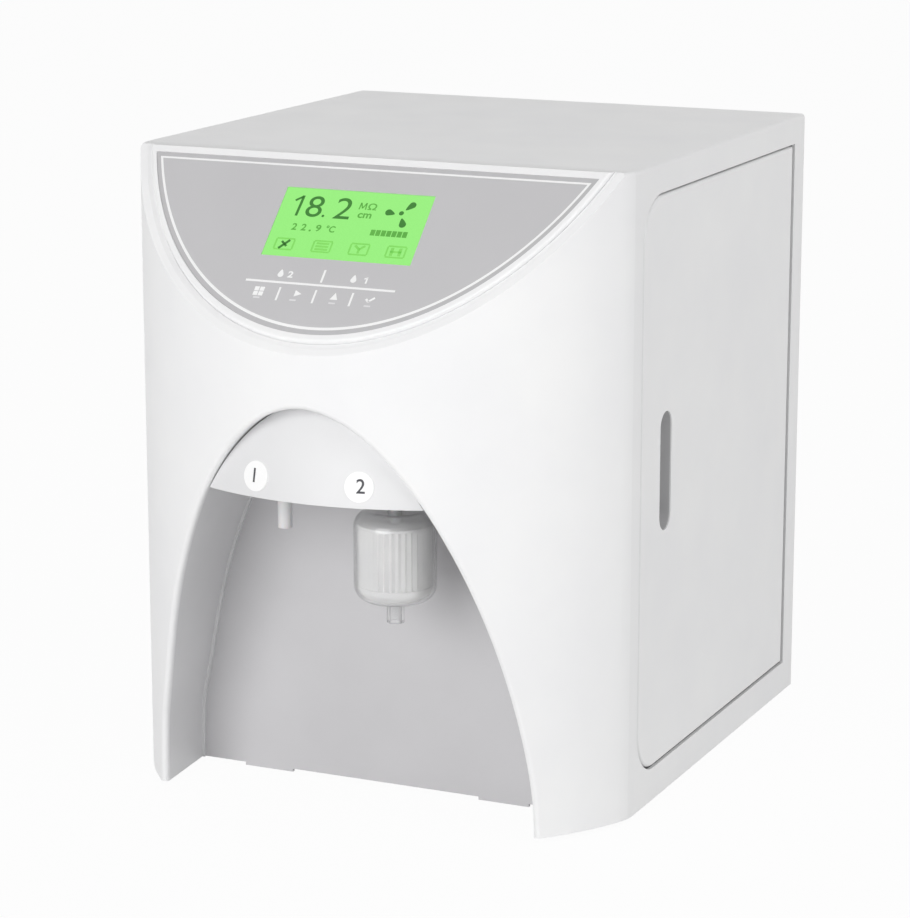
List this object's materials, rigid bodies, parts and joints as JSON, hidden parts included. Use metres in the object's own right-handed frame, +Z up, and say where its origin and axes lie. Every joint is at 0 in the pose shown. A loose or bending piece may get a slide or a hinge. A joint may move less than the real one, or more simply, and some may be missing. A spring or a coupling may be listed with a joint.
{
  "type": "bench-top ultrapure water system",
  "caption": "White box cabinet with a bowed front cover, slanted D-shaped control face with a green screen, arched dispensing bay with nozzle and capsule filter, and a hinged side door",
  "frame": {"origin": "middle of the overall footprint, at bench level", "axes": "+Z up, +Y to the rear, +X to the right seen from the front"},
  "size_m": [0.36, 0.472, 0.435],
  "materials": {
    "white_cover": "smooth white moulding",
    "white_sheet": "satin white powder coat",
    "grey_sheet": "light grey powder coat",
    "grey_film": "light grey printed film",
    "green_screen": "lit green liquid crystal screen",
    "white_plastic": "fine matt white moulding",
    "clear_plastic": "translucent moulded capsule",
    "membrane": "pleated white membrane",
    "blue_plastic": "pale blue moulding",
    "black_plastic": "black moulding",
    "rubber": "soft black rubber",
    "steel": "plated steel",
    "stainless": "electropolished stainless steel",
    "zinc_sheet": "zinc-plated sheet",
    "motor_paint": "black enamel",
    "board_green": "solder resist on laminate",
    "tube": "natural polyethylene tube",
    "magnet": "ferrite"
  },
  "bodies": {
    "cabinet": {"cabinet_shell": "white_sheet", "front_bulkhead": "grey_sheet", "base_plate": "zinc_sheet", "rubber_feet": "rubber", "front_cover": "white_cover", "bay_liner": "white_cover", "cover_posts": "white_plastic", "cover_screws": "steel", "display_bezel": "white_cover", "control_overlay": "grey_film", "key_domes": "steel", "screen_glass": "green_screen", "display_module": "zinc_sheet", "outlet_hood": "white_cover", "outlet_labels": "white_plastic", "ro_nozzle": "white_plastic", "filter_spigot": "white_plastic", "door_frame": "white_plastic", "hinge_pins": "steel", "door_magnets": "magnet", "filter_manifold": "white_plastic", "cartridge_clips": "black_plastic", "service_wall": "zinc_sheet", "pump_motor": "motor_paint", "pump_head": "black_plastic", "pump_plate": "zinc_sheet", "pump_mounts": "rubber", "uv_reactor": "stainless", "uv_caps": "black_plastic", "uv_clips": "steel", "power_supply": "zinc_sheet", "control_board": "board_green", "board_standoffs": "steel", "solenoid_valves": "blue_plastic", "pressure_switch": "black_plastic", "conductivity_cell": "white_plastic", "process_tubing": "tube", "rear_panel": "white_sheet", "rear_screws": "steel", "base_screws": "steel", "bulkhead_ports": "white_plastic", "port_nuts": "white_plastic", "power_inlet": "black_plastic", "inlet_blades": "steel"},
    "door": {"side_door": "white_sheet", "door_pull": "white_plastic", "door_strikers": "steel"},
    "final_filter": {"final_filter_shell": "clear_plastic", "final_filter_core": "membrane"},
    "fuse_tray": {"fuse_drawer": "black_plastic"},
    "rocker": {"power_rocker": "black_plastic"},
    "sediment_cartridge_body": {"sediment_cartridge": "white_plastic"},
    "carbon_cartridge_body": {"carbon_cartridge": "white_plastic"},
    "membrane_cartridge_body": {"membrane_cartridge": "white_plastic"},
    "polishing_cartridge_body": {"polishing_cartridge": "white_plastic"}
  },
  "joints": [
    {"name": "door_hinge", "type": "hinge", "parent": "cabinet", "child": "door", "pos_m": [0.175, 0.1885, 0.2205], "axis": [0, 0, 1], "range_deg": [0, 100]},
    {"name": "final_filter_turn", "type": "hinge", "parent": "cabinet", "child": "final_filter", "pos_m": [0.0402, -0.181, 0.183], "axis": [0, 0, 1], "range_deg": [0, 360]},
    {"name": "sediment_cartridge_twist", "type": "hinge", "parent": "cabinet", "child": "sediment_cartridge_body", "pos_m": [0.129, -0.05625, 0.347], "axis": [0, 0, 1], "range_deg": [0, 90]},
    {"name": "carbon_cartridge_twist", "type": "hinge", "parent": "cabinet", "child": "carbon_cartridge_body", "pos_m": [0.129, 0.01175, 0.347], "axis": [0, 0, 1], "range_deg": [0, 90]},
    {"name": "membrane_cartridge_twist", "type": "hinge", "parent": "cabinet", "child": "membrane_cartridge_body", "pos_m": [0.129, 0.07975, 0.347], "axis": [0, 0, 1], "range_deg": [0, 90]},
    {"name": "polishing_cartridge_twist", "type": "hinge", "parent": "cabinet", "child": "polishing_cartridge_body", "pos_m": [0.129, 0.14775, 0.347], "axis": [0, 0, 1], "range_deg": [0, 90]},
    {"name": "fuse_drawer_slide", "type": "slide", "parent": "cabinet", "child": "fuse_tray", "axis": [0, 1, 0], "range_m": [0, 0.016]},
    {"name": "power_rocker_tilt", "type": "hinge", "parent": "cabinet", "child": "rocker", "pos_m": [-0.112, 0.2175, 0.1105], "axis": [0, 0, 1], "range_deg": [-16, 0]}
  ]
}
